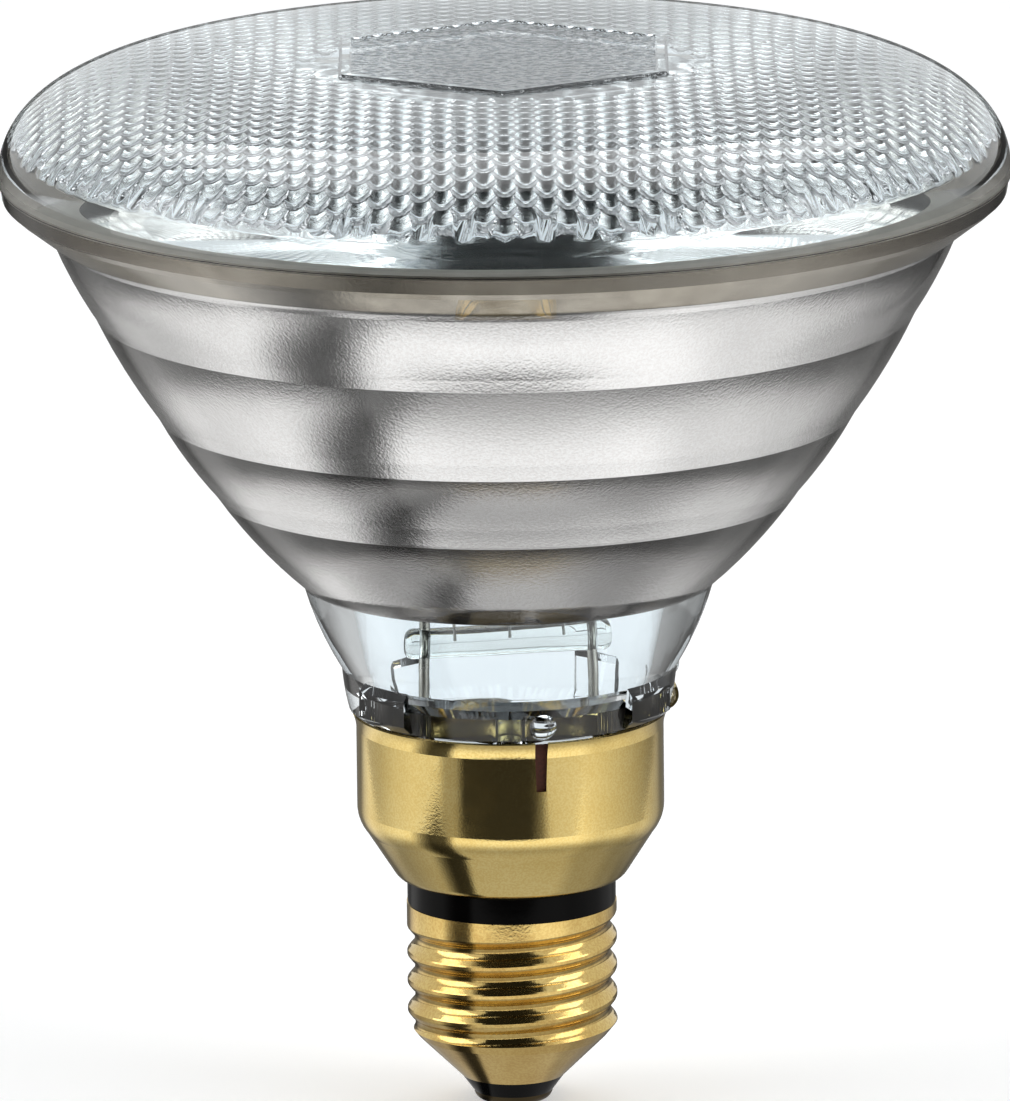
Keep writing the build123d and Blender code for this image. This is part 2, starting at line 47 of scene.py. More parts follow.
# %% [markdown]
# ## Camera
# The photograph was taken with a long lens, about two metres away and thirteen degrees above the
# lamp's middle. The lamp leans very slightly in the frame, so the camera is rolled by that much.
# A long lens is set by its focal length against a 36 mm frame, and the aim point lies on the axis.

# %% Set up the camera
camera_distance = 2.0
camera_elevation = radians(13.2)
camera_aim = Vector((-0.4, 0, 69.85)) * MM
camera_roll = radians(-0.57)

camera_data = bpy.data.cameras.new("studio_camera")
camera_data.lens = 529.0
camera_data.sensor_width = 36.0
camera_data.clip_start = 0.1
camera_data.clip_end = 50.0
camera = bpy.data.objects.new("studio_camera", camera_data)
bpy.context.scene.collection.objects.link(camera)
backwards = Vector((0, -cos(camera_elevation), sin(camera_elevation)))
camera.location = camera_aim + backwards * camera_distance
camera.rotation_mode = "QUATERNION"
look = (-backwards).to_track_quat("-Z", "Y")
camera.rotation_quaternion = Matrix.Rotation(camera_roll, 4, backwards).to_quaternion() @ look
bpy.context.scene.camera = camera
bpy.context.scene.view_settings.view_transform = "Standard"
print("camera at", [round(v, 3) for v in camera.location])

# %% [markdown]
# ## Helpers for materials
# A colour is written as the sRGB hex value that one would pick from a swatch, and Blender's
# shaders want linear light, so one function turns the one into the other. A second function adds
# a node, fills in its sockets and makes its links, and every material below is built with it.

# %% Colour and node helpers
def linear(code):
    """Turn an sRGB hex colour into the linear RGBA that a shader socket takes."""
    channels = [int(code[i : i + 2], 16) / 255 for i in (1, 3, 5)]
    return [c / 12.92 if c <= 0.04045 else ((c + 0.055) / 1.055) ** 2.4 for c in channels] + [1.0]


def add_node(tree, kind, sockets=None, **settings):
    """Add one node. `sockets` maps an input to a value or to another node's output."""
    node = tree.nodes.new(kind)
    for name, value in settings.items():
        setattr(node, name, value)
    for socket, value in (sockets or {}).items():
        if isinstance(value, bpy.types.NodeSocket):
            tree.links.new(value, node.inputs[socket])
        else:
            node.inputs[socket].default_value = value
    return node


def empty_material(name):
    """A material whose tree holds nothing yet."""
    material = bpy.data.materials.new(name)
    material.use_nodes = True
    material.node_tree.nodes.clear()
    return material, material.node_tree


def place(tree, size):
    """Object coordinates scaled so that one unit of a pattern is `size` millimetres."""
    where = add_node(tree, "ShaderNodeTexCoord")
    scale = (1 / (size * MM),) * 3
    return add_node(
        tree, "ShaderNodeMapping", {"Vector": where.outputs["Object"], "Scale": scale}
    ).outputs["Vector"]


def fade_mask(tree, edges):
    """A soft mask: a product of smooth rises, each an output that climbs from 0 to 1.

    Each edge is (output, where it starts, where it ends); the start may be the higher one.
    """
    mask = None
    for output, start, finish in edges:
        step = add_node(
            tree,
            "ShaderNodeMapRange",
            {"Value": output, "From Min": start, "From Max": finish},
            interpolation_type="SMOOTHSTEP",
        ).outputs["Result"]
        if mask:
            step = add_node(
                tree, "ShaderNodeMath", {0: mask, 1: step}, operation="MULTIPLY"
            ).outputs[0]
        mask = step
    return mask


print("white reads back as", linear("#FFFFFF"))

# %% [markdown]
# ## Studio
# The lamp was lit by large white panels, one on each side, with a dark gap where the camera stood.
# That gap gives the brass its dark middle. The room is the world: pale all round, with a soft-edged
# dark band that runs from the front up over the top. The camera itself, and glass that is looked
# straight through, see plain white.

# %% Make the room
room_level = 0.62
mirrored_level = 0.95
gap_level = 0.02
# Where the gap fades, in parts of a unit direction: left side, right side and back
gap_left = (-0.6, -0.5)
gap_right = (0.44, 0.34)
gap_back = (0.45, 0.25)


def sort_rays(tree):
    """Two outputs, 0 or 1: seen without any mirror between, and seen in a mirror or in glass."""
    rays = add_node(tree, "ShaderNodeLightPath")
    direct = add_node(
        tree,
        "ShaderNodeMath",
        {0: rays.outputs["Is Camera Ray"], 1: rays.outputs["Is Transmission Ray"]},
        operation="MAXIMUM",
    ).outputs[0]
    unmirrored = add_node(
        tree, "ShaderNodeMath", {0: rays.outputs["Glossy Depth"], 1: 0.5}, operation="LESS_THAN"
    ).outputs[0]
    plain_view = add_node(
        tree, "ShaderNodeMath", {0: direct, 1: unmirrored}, operation="MULTIPLY"
    ).outputs[0]
    bent_view = add_node(
        tree,
        "ShaderNodeMath",
        {0: rays.outputs["Is Glossy Ray"], 1: rays.outputs["Is Transmission Ray"]},
        operation="MAXIMUM",
    ).outputs[0]
    return plain_view, bent_view


world = bpy.data.worlds.new("studio_room")
world.use_nodes = True
room = world.node_tree
room.nodes.clear()
direction = add_node(room, "ShaderNodeTexCoord").outputs["Generated"]
axes = add_node(room, "ShaderNodeSeparateXYZ", {"Vector": direction})
x, y = axes.outputs["X"], axes.outputs["Y"]
gap = fade_mask(room, [(x, *gap_left), (x, *gap_right), (y, *gap_back)])
level = add_node(
    room,
    "ShaderNodeMapRange",
    {"Value": gap, "To Min": 1.0, "To Max": gap_level},
    interpolation_type="SMOOTHSTEP",
).outputs["Result"]
plain_view, bent_view = sort_rays(room)
full = add_node(
    room,
    "ShaderNodeMapRange",
    {"Value": bent_view, "To Min": room_level, "To Max": mirrored_level},
).outputs["Result"]
strength = add_node(room, "ShaderNodeMath", {0: level, 1: full}, operation="MULTIPLY").outputs[0]
room_light = add_node(
    room, "ShaderNodeBackground", {"Color": linear("#F6F9FB"), "Strength": strength}
)
backdrop = add_node(room, "ShaderNodeBackground", {"Color": linear("#FFFFFF"), "Strength": 1.0})
seen = add_node(
    room, "ShaderNodeMixShader", {0: plain_view, 1: room_light.outputs[0], 2: backdrop.outputs[0]}
)
add_node(room, "ShaderNodeOutputWorld", {"Surface": seen.outputs[0]})
bpy.context.scene.world = world


lamp_middle = Vector((0, 0, 70)) * MM


def soft_box(name, azimuth, elevation, distance, width, height, watts):
    """A rectangular light that faces the lamp's middle; angles in degrees, sizes in metres."""
    data = bpy.data.lights.new(name, "AREA")
    data.shape = "RECTANGLE"
    data.size = width
    data.size_y = height
    data.energy = watts
    box = bpy.data.objects.new(name, data)
    bpy.context.scene.collection.objects.link(box)
    a, e = radians(azimuth), radians(elevation)
    away = Vector((sin(a) * cos(e), -cos(a) * cos(e), sin(e)))
    box.location = lamp_middle + away * distance
    box.rotation_mode = "QUATERNION"
    box.rotation_quaternion = away.to_track_quat("Z", "Y")


soft_box("left_soft_box", -78, 18, 1.3, 1.0, 1.3, 9)
soft_box("right_soft_box", 70, 22, 1.3, 0.9, 1.2, 7)
soft_box("top_soft_box", 180, 60, 1.4, 1.2, 1.0, 6)
print("soft boxes:", len(bpy.data.lights))

# %% [markdown]
# ## Floor
# A plain pale floor lies under the tip of the cap. It is matt paper that takes the lamp's soft
# shadow, and a little light of its own, which shows only where no mirror is between, lifts it to
# the white of the backdrop. In the lamp's own mirrors the floor shows as the set that stood on it:
# white card near the lamp, darker right under it, and farther out the side panels with the gap
# between them.

# %% Lay the floor
floor_radius = 6.0
floor_mesh = bpy.data.meshes.new("paper_floor")
bm = bmesh.new()
bmesh.ops.create_circle(bm, cap_ends=True, radius=floor_radius, segments=96)
bm.to_mesh(floor_mesh)
bm.free()
floor = bpy.data.objects.new("paper_floor", floor_mesh)
bpy.context.scene.collection.objects.link(floor)
print("floor radius in m:", floor_radius)

# %% [markdown]
# The set is written down as light levels from 0 to 1, by the direction from the lamp's axis: 0
# degrees is in front, and 90 on the right. The panels stand far out. The card lies near the lamp,
# and its light also changes with the distance from the axis, since the lamp shades it.

# %% Light levels of the set
panel_levels = (
    (-180, 0.05), (-156, 0.06), (-132, 0.54), (-112, 0.58), (-92, 0.85), (-74, 1.0), (-54, 1.0),
    (-49, 0.45), (-39, 0.38), (-34, 0.04), (14, 0.04), (22, 0.2), (29, 0.82), (62, 1.0),
    (80, 0.78), (101, 0.55), (128, 0.26), (149, 0.08), (180, 0.05),
)
card_levels = (
    (-180, 0.12), (-146, 0.14), (-137, 0.55), (-126, 0.8), (-112, 0.68), (-98, 0.78), (-78, 0.9),
    (-68, 0.25), (-61, 0.05), (-46, 0.07), (-40, 1.0), (50, 1.0), (66, 0.72), (90, 0.7),
    (104, 0.56), (116, 0.56), (126, 0.42), (136, 0.34), (146, 0.14), (180, 0.12),
)
pool_levels = ((0, 0.42), (30, 0.36), (44, 0.3), (56, 0.44), (70, 0.74), (90, 0.9), (200, 0.92))
# How far the levels reach: degrees to each side of the front, and mm from the axis
half_turn = 180
pool_reach = 200
card_gain = 1.5
# Where the card fades out, in mm: its front edge, and both its sides
card_front = (-114, -104)
card_side = (154, 144)


def fill_ramp(ramp, stops, low, high):
    """Set a colour ramp's grey stops from (place, level) pairs between two places."""
    elements = ramp.color_ramp.elements
    while len(elements) < len(stops):
        elements.new(0.5)
    for element, (where, value) in zip(elements, stops):
        element.position = (where - low) / (high - low)
        element.color = (value, value, value, 1.0)


print("levels:", len(panel_levels), len(card_levels), len(pool_levels))

# %% Make the paper
# The clouding of the paper is this many mm across
cloud_size = 2.5
floor_glow = 0.3

paper, tree = empty_material("matt_paper")
grain = add_node(
    tree, "ShaderNodeTexNoise", {"Vector": place(tree, cloud_size), "Scale": 1.0, "Detail": 3.0}
)
tint = add_node(
    tree,
    "ShaderNodeMix",
    {"Factor": grain.outputs["Fac"], "A": linear("#F3F3F3"), "B": linear("#F7F7F7")},
    data_type="RGBA",
)
diffuse = add_node(tree, "ShaderNodeBsdfDiffuse", {"Color": tint.outputs["Result"]})
glow = add_node(tree, "ShaderNodeEmission", {"Color": linear("#FFFFFF"), "Strength": floor_glow})
dark = add_node(tree, "ShaderNodeEmission", {"Strength": 0.0})
plain_view, bent_view = sort_rays(tree)
lift = add_node(
    tree, "ShaderNodeMixShader", {0: plain_view, 1: dark.outputs[0], 2: glow.outputs[0]}
)
plain = add_node(tree, "ShaderNodeAddShader", {0: diffuse.outputs[0], 1: lift.outputs[0]})

# %% Show the set in the lamp's mirrors
spot = add_node(tree, "ShaderNodeTexCoord").outputs["Object"]
axes = add_node(tree, "ShaderNodeSeparateXYZ", {"Vector": spot})
x, y = axes.outputs["X"], axes.outputs["Y"]
front = add_node(tree, "ShaderNodeMath", {0: y, 1: -1.0}, operation="MULTIPLY").outputs[0]
turn = add_node(tree, "ShaderNodeMath", {0: x, 1: front}, operation="ARCTAN2").outputs[0]
share = add_node(
    tree, "ShaderNodeMapRange", {"Value": turn, "From Min": -pi, "From Max": pi}
).outputs["Result"]
far = add_node(tree, "ShaderNodeVectorMath", {0: spot}, operation="LENGTH").outputs["Value"]
reach = add_node(
    tree, "ShaderNodeMapRange", {"Value": far, "From Min": 0.0, "From Max": pool_reach * MM}
).outputs["Result"]
panels = add_node(tree, "ShaderNodeValToRGB", {"Fac": share})
fill_ramp(panels, panel_levels, -half_turn, half_turn)
cards = add_node(tree, "ShaderNodeValToRGB", {"Fac": share})
fill_ramp(cards, card_levels, -half_turn, half_turn)
pool = add_node(tree, "ShaderNodeValToRGB", {"Fac": reach})
fill_ramp(pool, pool_levels, 0, pool_reach)
shaded = add_node(
    tree,
    "ShaderNodeMath",
    {0: cards.outputs["Color"], 1: pool.outputs["Color"]},
    operation="MULTIPLY",
).outputs[0]
card = add_node(tree, "ShaderNodeMath", {0: shaded, 1: card_gain}, operation="MULTIPLY").outputs[0]
sideways = add_node(tree, "ShaderNodeMath", {0: x}, operation="ABSOLUTE").outputs[0]
front_edge = [v * MM for v in card_front]
side_edge = [v * MM for v in card_side]
on_card = fade_mask(tree, [(y, *front_edge), (sideways, *side_edge)])
level = add_node(
    tree, "ShaderNodeMix", {"Factor": on_card, "A": panels.outputs["Color"], "B": card}
).outputs["Result"]
set_light = add_node(tree, "ShaderNodeEmission", {"Color": linear("#FCFBF9"), "Strength": level})
only_mirrors = add_node(
    tree, "ShaderNodeMath", {0: bent_view, 1: plain_view}, operation="SUBTRACT", use_clamp=True
).outputs[0]
shown = add_node(
    tree, "ShaderNodeMixShader", {0: only_mirrors, 1: plain.outputs[0], 2: set_light.outputs[0]}
)
add_node(tree, "ShaderNodeOutputMaterial", {"Surface": shown.outputs[0]})
floor_mesh.materials.append(paper)
print("paper nodes:", len(tree.nodes))

# %% [markdown]
# ## Glass
# The bowl and the lens are pressed borosilicate glass: clear, with a trace of blue-green, an index
# of about 1.47, and a skin that a cold mould leaves slightly wavy. A principled shader with full
# transmission gives that, and a wide, low bump gives the waviness.

# %% Make the glasses
# The pits of the plaque are this many mm across
pit_size = 1.0


def glass(name, tint, roughness, waves, pits=None):
    """Clear pressed glass. `waves` lists (period in mm, height in mm) of its surface.

    `pits` is a darker tint painted into fine pits as their shade. They are drawn coarser than the
    real ones, because finer pits blur away at this distance.
    """
    material, tree = empty_material(name)
    colour = linear(tint)
    # Painted shade: the pits get a darker tint for the shade in them
    if pits:
        spots = add_node(
            tree,
            "ShaderNodeTexNoise",
            {"Vector": place(tree, pit_size), "Scale": 1.0, "Detail": 2.0},
        ).outputs["Fac"]
        colour = add_node(
            tree,
            "ShaderNodeMix",
            {"Factor": fade_mask(tree, [(spots, 0.42, 0.6)]), "A": colour, "B": linear(pits)},
            data_type="RGBA",
        ).outputs["Result"]
    normal = None
    for period, height in waves:
        noise = add_node(
            tree, "ShaderNodeTexNoise", {"Vector": place(tree, period), "Scale": 1.0}
        )
        sockets = {"Height": noise.outputs["Fac"], "Distance": height * MM, "Strength": 1.0}
        if normal:
            sockets["Normal"] = normal
        normal = add_node(tree, "ShaderNodeBump", sockets).outputs["Normal"]
    shader = add_node(
        tree,
        "ShaderNodeBsdfPrincipled",
        {
            "Base Color": colour,
            "Roughness": roughness,
            "IOR": 1.47,
            "Transmission Weight": 1.0,
            "Normal": normal,
        },
    )
    add_node(tree, "ShaderNodeOutputMaterial", {"Surface": shader.outputs[0]})
    return material


pressed_glass = glass("pressed_borosilicate_glass", "#F2F8FB", 0.0, [(14.0, 0.05)])
# The plaque's blue-grey pit tint is painted shade
stippled_glass = glass("stippled_plaque_glass", "#F4F8FA", 0.1, [(1.0, 0.3)], pits="#5E707A")
tube_glass = glass("drawn_tube_glass", "#F2F8F6", 0.0, [(9.0, 0.02)])
bead_glass = glass("fused_bead_glass", "#F4F8F6", 0.02, [(2.0, 0.03)])
print("glasses:", [m.name for m in (pressed_glass, stippled_glass, tube_glass, bead_glass)])

# %% [markdown]
# ## Metals
# The cap is brass: the skirt is drawn and left bright, and the thread is rolled. The film inside
# the bowl is vapour-deposited aluminium on glass that the mould left with a fine satin grain. At
# the flange the flame that fused the lens on has dulled the film, and the seam itself is stained.
# The inner metals are nickel-iron, nickel and tungsten. Each is a metallic shader with the colour
# and roughness of its metal, broken up by noise at the scale of its real grain. The centre
# contact's brass is darkened as painted shade.

# %% Make the metals
def metal(
    name, light, dark, roughness, grain, grain_height, patch=12.0, sheen_change=0.05, specks=0.0
):
    """A metal whose colour drifts over `patch` mm and whose grain is `grain` mm across.

    `specks` is how strongly the dark colour shows in the hollows of the grain.
    """
    material, tree = empty_material(name)
    drift = add_node(
        tree, "ShaderNodeTexNoise", {"Vector": place(tree, patch), "Scale": 1.0, "Detail": 4.0}
    ).outputs["Fac"]
    tint = add_node(
        tree,
        "ShaderNodeMix",
        {"Factor": drift, "A": linear(light), "B": linear(dark)},
        data_type="RGBA",
    ).outputs["Result"]
    gloss = add_node(
        tree,
        "ShaderNodeMapRange",
        {
            "Value": drift,
            "From Min": 0.3,
            "From Max": 0.7,
            "To Min": roughness - sheen_change,
            "To Max": roughness + sheen_change,
        },
    ).outputs["Result"]
    fine = add_node(
        tree, "ShaderNodeTexNoise", {"Vector": place(tree, grain), "Scale": 1.0, "Detail": 2.0}
    ).outputs["Fac"]
    hollows = add_node(
        tree,
        "ShaderNodeMapRange",
        {"Value": fine, "From Min": 0.42, "From Max": 0.58, "To Min": specks, "To Max": 0.0},
        interpolation_type="SMOOTHSTEP",
    ).outputs["Result"]
    tint = add_node(
        tree,
        "ShaderNodeMix",
        {"Factor": hollows, "A": tint, "B": linear(dark)},
        data_type="RGBA",
        blend_type="MULTIPLY",
    ).outputs["Result"]
    bump = add_node(
        tree, "ShaderNodeBump", {"Height": fine, "Distance": grain_height * MM, "Strength": 1.0}
    ).outputs["Normal"]
    shader = add_node(
        tree,
        "ShaderNodeBsdfPrincipled",
        {"Base Color": tint, "Metallic": 1.0, "Roughness": gloss, "Normal": bump},
    )
    add_node(tree, "ShaderNodeOutputMaterial", {"Surface": shader.outputs[0]})
    return material


skirt_brass = metal(
    "bright_drawn_brass", "#F2DD9A", "#D9BD70", 0.1, 0.28, 0.006, patch=6.0, specks=0.22
)
shell_brass = metal(
    "rolled_thread_brass", "#E8D08A", "#BF9A52", 0.13, 0.35, 0.007, patch=5.0, specks=0.2
)
# Painted shade: the centre contact gets a dark brass for the shade and dark reflection under the
# tip
shaded_contact_brass = metal("eyelet_brass", "#6A5C42", "#352D20", 0.4, 0.6, 0.02)
aluminium_film = metal(
    "aluminised_film", "#F2EDEB", "#E9E4E2", 0.14, 0.35, 0.014, patch=9.0, sheen_change=0.02,
    specks=0.25,
)
dulled_film = metal("flame_dulled_film", "#B8AFA2", "#93897C", 0.2, 0.6, 0.012, patch=4.0)
seal_stain = metal("stained_seal", "#C4BCB0", "#A29A8E", 0.55, 0.6, 0.02, patch=4.0)
polished_film = metal("polished_film", "#F1EFEC", "#EAE8E4", 0.07, 2.0, 0.001, sheen_change=0.01)
nickel_iron = metal("oxidised_nickel_iron", "#4A4744", "#26231F", 0.38, 0.5, 0.01)
nickel_wire = metal("nickel_wire", "#C9C5BC", "#A9A49A", 0.28, 0.3, 0.004)
tungsten = metal("coiled_tungsten", "#9C9A97", "#77746F", 0.4, 0.2, 0.004)
solder = metal("lead_tin_solder", "#A9A9A6", "#7E7D7A", 0.4, 0.7, 0.03)
print("materials so far:", len(bpy.data.materials))

# %% [markdown]
# ## Black insulation
# The ring between shell and skirt is a phenolic moulding, and the glass at the tip is fused black.
# Both are near black with a smooth skin, so their shape shows only in the reflections.

# %% Make the black materials
# The mottle is this many mm across and high
mottle_size = 1.25
mottle_height = 0.006


def black(name, light, dark, roughness, ior):
    """A smooth black insulator with a faint mottle in its colour and its skin."""
    material, tree = empty_material(name)
    mottle = add_node(
        tree,
        "ShaderNodeTexNoise",
        {"Vector": place(tree, mottle_size), "Scale": 1.0, "Detail": 3.0},
    ).outputs["Fac"]
    tint = add_node(
        tree,
        "ShaderNodeMix",
        {"Factor": mottle, "A": linear(light), "B": linear(dark)},
        data_type="RGBA",
    ).outputs["Result"]
    bump = add_node(
        tree, "ShaderNodeBump", {"Height": mottle, "Distance": mottle_height * MM, "Strength": 1.0}
    ).outputs["Normal"]
    shader = add_node(
        tree,
        "ShaderNodeBsdfPrincipled",
        {
            "Base Color": tint,
            "Roughness": roughness,
            "IOR": ior,
            "Specular IOR Level": 0.06,
            "Normal": bump,
        },
    )
    add_node(tree, "ShaderNodeOutputMaterial", {"Surface": shader.outputs[0]})
    return material


ring_phenolic = black("moulded_phenolic", "#060505", "#020202", 0.12, 1.5)
black_glass = black("fused_black_glass", "#08080A", "#020203", 0.08, 1.6)
print("black materials:", ring_phenolic.name, black_glass.name)

# %% [markdown]
# ## Dress the solids
# Solids whose shape is already right keep it and only get a finish, which goes into the slots of
# their own objects.

# %% Give the solids their finishes
finishes = {
    "centre_contact": shaded_contact_brass,
    "base_insulator": black_glass,
    "screw_shell": shell_brass,
    "insulating_ring": ring_phenolic,
    "cap_skirt": skirt_brass,
    "reflector": pressed_glass,
    "mirror_film": aluminium_film,
    "exhaust_tube": tube_glass,
    "ferrule_left": nickel_iron,
    "ferrule_right": nickel_iron,
    "post_left": nickel_wire,
    "post_right": nickel_wire,
    "filament": tungsten,
    "support_left": nickel_wire,
    "support_middle": nickel_wire,
    "support_right": nickel_wire,
    "glass_bridge": bead_glass,
    "lead_to_contact": nickel_wire,
    "lead_to_shell": nickel_wire,
    "contact_solder": solder,
    "shell_solder": solder,
    "lens": pressed_glass,
}
for name, finish in finishes.items():
    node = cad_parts[name]
    for slot in node.material_slots:
        slot.link = "OBJECT"
        slot.material = finish
print("dressed:", len(finishes), "solids")

# %% [markdown]
# ## Helpers for pieces
# A new piece is drawn in millimetres with bmesh operators and scaled to metres at the end. Its
# doubles are merged and its faces turned outward, and edges sharper than a given angle are marked,
# so that curves look smooth and creases stay crisp.

# %% Piece helpers
def make_piece(name, bm, materials, node_names=(), crease=35.0):
    """Turn a bmesh in mm into a finished piece, which stands for CAD nodes if they are named."""
    bmesh.ops.remove_doubles(bm, verts=bm.verts[:], dist=0.0005)
    bmesh.ops.recalc_face_normals(bm, faces=bm.faces[:])
    bmesh.ops.scale(bm, verts=bm.verts[:], vec=(MM, MM, MM))
    mesh = bpy.data.meshes.new(name)
    bm.to_mesh(mesh)
    bm.free()
    for polygon in mesh.polygons:
        polygon.use_smooth = True
    mesh.set_sharp_from_angle(angle=radians(crease))
    for material in materials:
        mesh.materials.append(material)
    piece = bpy.data.objects.new(name, mesh)
    bpy.context.scene.collection.objects.link(piece)
    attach(piece, "root")
    if node_names:
        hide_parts(*node_names)
    open_edges = sum(1 for count in edge_uses(mesh).values() if count != 2)
    print(name, "faces:", len(mesh.polygons), "open edges:", open_edges)
    return piece


def edge_uses(mesh):
    """How many faces use each edge of a mesh."""
    uses = dict.fromkeys((edge.key for edge in mesh.edges), 0)
    for polygon in mesh.polygons:
        for key in polygon.edge_keys:
            uses[key] += 1
    return uses


def spin_line(bm, points, steps):
    """Spin a chain of (radius, height) points, in mm, a full turn about the lamp's axis."""
    verts = [bm.verts.new((radius, 0, height)) for radius, height in points]
    edges = [bm.edges.new(pair) for pair in zip(verts, verts[1:])]
    bmesh.ops.spin(
        bm, geom=verts + edges, cent=(0, 0, 0), axis=(0, 0, 1), angle=2 * pi, steps=steps,
        use_merge=True,
    )


print("piece helpers ready")

# %% [markdown]
# ## Lens
# The lens is pressed glass, domed outside. Its inner face carries well over a thousand small
# rounded lenses in a honeycomb, which spread the beam, and the crown carries a raised hexagonal
# plaque. Each little lens is a twelve-sided cell that is inset twice and poked, and all its points
# are then set on a paraboloid, so neighbours meet in a crisp ridge. The dome is a spun line, and
# the plaque and the field are bridged to it.

# %% Lens sizes
seam_height = 117.6
crown_rise = 14.5
dome_edge_radius = 62.3
# How flat the crown is, and how square the dome's shoulder is
crown_power = 5.6
shoulder_power = 2.2
wall_thickness = 4.0
cell_pitch = 2.83
cell_depth = 0.85
field_reach = 58.2
field_edge = 58.45
plaque_across_flats = 39.8
plaque_rise = 0.35
plain_margin = 2.4
spin_steps = 288


def dome_height(radius):
    """Height of the outer face at a radius."""
    share = min(radius / dome_edge_radius, 1.0) ** crown_power
    return seam_height + crown_rise * (1 - share) ** (1 / shoulder_power)


def underside_height(radius):
    """Height of the inner face, from which the little lenses hang."""
    return dome_height(radius) - wall_thickness


column_pitch = cell_pitch * sqrt(3) / 2
cell_corner = cell_pitch / sqrt(3)


def cell_place(column, row):
    """Centre of a honeycomb cell. Every second column is shifted by half a cell."""
    shift = 0.0 if column % 2 else cell_pitch / 2
    return column * column_pitch, row * cell_pitch + shift


def reach_from_cell(x, y):
    """How far a point is from the centre of the honeycomb cell that holds it."""
    near = round(x / column_pitch)
    gaps = []
    for column in (near - 1, near, near + 1):
        _, shift = cell_place(column, 0)
        centre = cell_place(column, round((y - shift) / cell_pitch))
        gaps.append(hypot(x - centre[0], y - centre[1]))
    return min(gaps)


print("dome from", round(dome_height(0), 2), "to", dome_height(dome_edge_radius))

# %% Build the honeycomb field
inset_widths = (0.42, 0.5)


def build_field(bm):
    """Lay the honeycomb on the underside and round every cell that isn't under the plaque."""
    lean = Matrix.Rotation(radians(30), 4, "Z")
    reach = ceil(field_reach / column_pitch)
    for column in range(-reach, reach + 1):
        for row in range(-reach, reach + 1):
            x, y = cell_place(column, row)
            if hypot(x, y) <= field_reach:
                bmesh.ops.create_circle(
                    bm, cap_ends=True, radius=cell_corner, segments=6,
                    matrix=Matrix.Translation((x, y, 0)) @ lean,
                )
    bmesh.ops.remove_doubles(bm, verts=bm.verts[:], dist=0.01)
    bmesh.ops.subdivide_edges(bm, edges=bm.edges[:], cuts=1)
    plain = set()
    for face in bm.faces:
        centre = face.calc_center_median()
        across = max(
            abs(centre.dot(Vector((sin(radians(a)), cos(radians(a)), 0)))) for a in (0, 60, 120)
        )
        if across < plaque_across_flats / 2 + plain_margin:
            plain.add(face)
    flat = {vert for face in plain for vert in face.verts}
    cells = [face for face in bm.faces if face not in plain]
    for width in inset_widths:
        bmesh.ops.inset_individual(bm, faces=cells, thickness=width, use_even_offset=True)
    bmesh.ops.poke(bm, faces=cells)
    border = {vert for edge in bm.edges if edge.is_boundary for vert in edge.verts}
    for vert in bm.verts:
        radius = hypot(vert.co.x, vert.co.y)
        if vert in border or radius > field_edge:
            vert.co *= field_edge / radius
    bmesh.ops.remove_doubles(bm, verts=bm.verts[:], dist=0.03)
    loose = [edge for edge in bm.edges if edge.is_wire]
    bmesh.ops.delete(bm, geom=loose, context="EDGES")
    for vert in bm.verts:
        gap = reach_from_cell(vert.co.x, vert.co.y)
        depth = 0.0 if vert in flat else cell_depth * (1 - (gap / cell_corner) ** 2)
        vert.co.z = underside_height(hypot(vert.co.x, vert.co.y)) - max(depth, 0.0)
    return len(cells)


bm = bmesh.new()
print("little lenses:", build_field(bm))

# %% Build the dome and its edge
# The points on the dome lie closer together towards its edge, where it curves most
dome_points = 44
crowding = 2.4
ring_radius = 27.0
seam_inner_radius = 58.7
shoulder_bottom = 120.7
shoulder_top = 121.0

field_rim = [edge for edge in bm.edges if edge.is_boundary]
shares = [1 - (1 - i / dome_points) ** crowding for i in range(dome_points + 1)]
radii = [ring_radius + (dome_edge_radius - ring_radius) * share for share in shares]
outer_line = [(radius, dome_height(radius)) for radius in radii]
edge_line = [(seam_inner_radius, z) for z in (seam_height, shoulder_bottom, shoulder_top)]
spin_line(bm, outer_line + edge_line, spin_steps)
bmesh.ops.remove_doubles(bm, verts=bm.verts[:], dist=0.0005)


def ring_edges(bm, radius, height):
    """The open edges whose ends both lie on a circle about the axis."""
    return [
        edge
        for edge in bm.edges
        if edge.is_boundary
        and all(
            abs(hypot(v.co.x, v.co.y) - radius) < 0.01 and abs(v.co.z - height) < 0.01
            for v in edge.verts
        )
    ]


inner_ring = ring_edges(bm, seam_inner_radius, shoulder_top)
bmesh.ops.bridge_loops(bm, edges=field_rim + inner_ring)
print("lens faces so far:", len(bm.faces))

# %% Raise the plaque
# The plaque's wall leans out, its edge is broken, and its field is sunk inside a border
wall_spread = 0.3
edge_drop = 0.05
edge_width = 0.06
border_width = 1.0
slope_width = 0.25
recess = 0.22

plaque_top = dome_height(0) + plaque_rise
apothem = plaque_across_flats / 2
levels = [
    (apothem + wall_spread, dome_height(ring_radius)),
    (apothem, plaque_top - edge_drop),
    (apothem - edge_width, plaque_top),
    (apothem - border_width, plaque_top),
    (apothem - border_width - slope_width, plaque_top - recess),
]
loops = [ring_edges(bm, ring_radius, dome_height(ring_radius))]
for half_width, height in levels:
    known = set(bm.edges)
    made = bmesh.ops.create_circle(
        bm, cap_ends=False, radius=half_width / cos(radians(30)), segments=6,
        matrix=Matrix.Translation((0, 0, height)),
    )["verts"]
    sides = list({edge for vert in made for edge in vert.link_edges})
    bmesh.ops.subdivide_edges(bm, edges=sides, cuts=spin_steps // 6 - 1)
    loops.append([edge for edge in bm.edges if edge not in known])
for lower, upper in zip(loops, loops[1:]):
    bmesh.ops.bridge_loops(bm, edges=lower + upper)
for face in bmesh.ops.contextual_create(bm, geom=loops[-1])["faces"]:
    face.material_index = 1
make_piece(
    "lens_glass", bm, [pressed_glass, stippled_glass], ["lens"], crease=32.0
)

